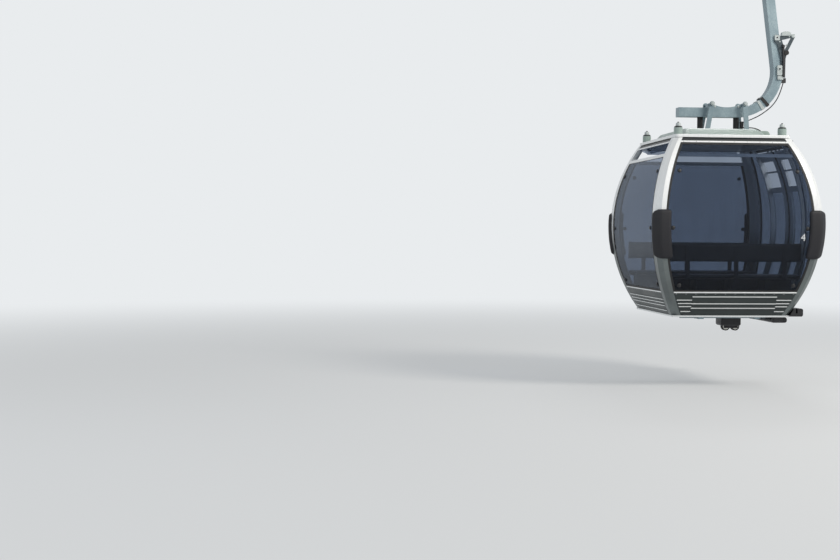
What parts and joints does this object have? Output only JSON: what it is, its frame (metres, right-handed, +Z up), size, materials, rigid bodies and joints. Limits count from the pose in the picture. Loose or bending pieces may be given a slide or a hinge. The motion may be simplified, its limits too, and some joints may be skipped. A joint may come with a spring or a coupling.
{
  "type": "gondola lift cabin with hanger and detachable grip",
  "caption": "Barrel-shaped gondola lift cabin with tinted windows, corner posts, sliding doors, bent hanger arm and spring grip.",
  "frame": {"origin": "middle of the rope clamp, on the rope's axis", "axes": "+Z up, +Y along the rope in the direction of travel, +X towards the doors and the hanger arm"},
  "size_m": [2.004, 2.326, 4.369],
  "materials": {
    "anodised_aluminium": "satin",
    "dark_panel": "satin",
    "tinted_glass": "gloss",
    "black_rubber": "matte",
    "roof_paint": "satin",
    "galvanised_steel": "satin",
    "cast_steel": "matte",
    "machined_steel": "satin",
    "wheel_tyre": "matte",
    "white_nylon": "satin",
    "black_plastic": "matte",
    "bench_vinyl": "satin",
    "floor_covering": "matte",
    "ceiling_panel": "matte"
  },
  "bodies": {
    "grip": {"grip_body": "cast_steel", "grip_axle": "machined_steel", "friction_plate": "machined_steel", "grip_springs": "machined_steel", "jaw_pin": "machined_steel"},
    "moving_jaw": {"moving_jaw": "cast_steel", "coupling_roller": "white_nylon"},
    "wheel_front": {"wheel_front": "wheel_tyre"},
    "wheel_rear": {"wheel_rear": "wheel_tyre"},
    "door_front": {"door_front_frame": "anodised_aluminium", "door_front_glass": "tinted_glass", "door_front_seal": "black_rubber"},
    "door_rear": {"door_rear_frame": "anodised_aluminium", "door_rear_glass": "tinted_glass", "door_rear_seal": "black_rubber"},
    "carrier": {"hanger_arm": "galvanised_steel", "arm_collar": "black_rubber", "saddle": "galvanised_steel", "strap_brackets": "galvanised_steel", "rubber_mounts": "black_rubber", "lever_bracket": "galvanised_steel", "lever_roller": "machined_steel", "cable_ends": "black_plastic", "door_cable": "black_plastic", "roof_cable": "black_plastic", "door_operator": "black_plastic", "roof_rim": "anodised_aluminium", "roof_pan": "roof_paint", "roof_hood": "roof_paint", "roof_stops": "roof_paint", "stop_pads": "black_rubber", "ceiling": "ceiling_panel", "post_front_left": "anodised_aluminium", "post_front_right": "anodised_aluminium", "post_rear_left": "anodised_aluminium", "post_rear_right": "anodised_aluminium", "bumpers": "black_rubber", "header_band": "dark_panel", "head_rail": "anodised_aluminium", "transoms": "anodised_aluminium", "window_front": "tinted_glass", "window_rear": "tinted_glass", "window_left": "tinted_glass", "vent_left": "tinted_glass", "vent_rear": "tinted_glass", "side_lights": "tinted_glass", "window_seals": "black_rubber", "door_jambs": "anodised_aluminium", "skirts": "dark_panel", "sill": "anodised_aluminium", "floor_pan": "floor_covering", "underframe": "galvanised_steel", "guide_block": "black_plastic", "guide_rollers": "white_nylon", "door_casing": "black_plastic", "door_rail_upper": "black_plastic", "door_rail_lower": "black_plastic", "seats": "bench_vinyl", "seat_backs": "bench_vinyl", "bench_frames": "black_plastic"}
  },
  "joints": [
    {"name": "jaw_hinge", "type": "hinge", "parent": "grip", "child": "moving_jaw", "pos_m": [0.085, 0, 0.095], "axis": [0, 1, 0], "range_deg": [0, 18], "stiffness_Nm_per_rad": 400, "springref_deg": -34.38, "deforming": ["grip_springs"]},
    {"name": "wheel_front_spin", "type": "hinge", "parent": "grip", "child": "wheel_front", "pos_m": [0.412, -0.17, -0.035], "axis": [1, 0, 0], "continuous": true},
    {"name": "wheel_rear_spin", "type": "hinge", "parent": "grip", "child": "wheel_rear", "pos_m": [0.412, 0.17, -0.035], "axis": [1, 0, 0], "continuous": true},
    {"name": "hanger_swing", "type": "hinge", "parent": "grip", "child": "carrier", "pos_m": [0.557, 0, -0.03], "axis": [1, 0, 0], "range_deg": [-30, 30]},
    {"name": "door_front_slide", "type": "slide", "parent": "carrier", "child": "door_front", "axis": [0, -1, 0], "range_m": [0, 0.38]},
    {"name": "door_rear_slide", "type": "slide", "parent": "carrier", "child": "door_rear", "axis": [0, 1, 0], "range_m": [0, 0.38]}
  ],
  "couplings": [
    {"joint": "door_rear_slide", "follows": "door_front_slide", "ratio": 1}
  ]
}
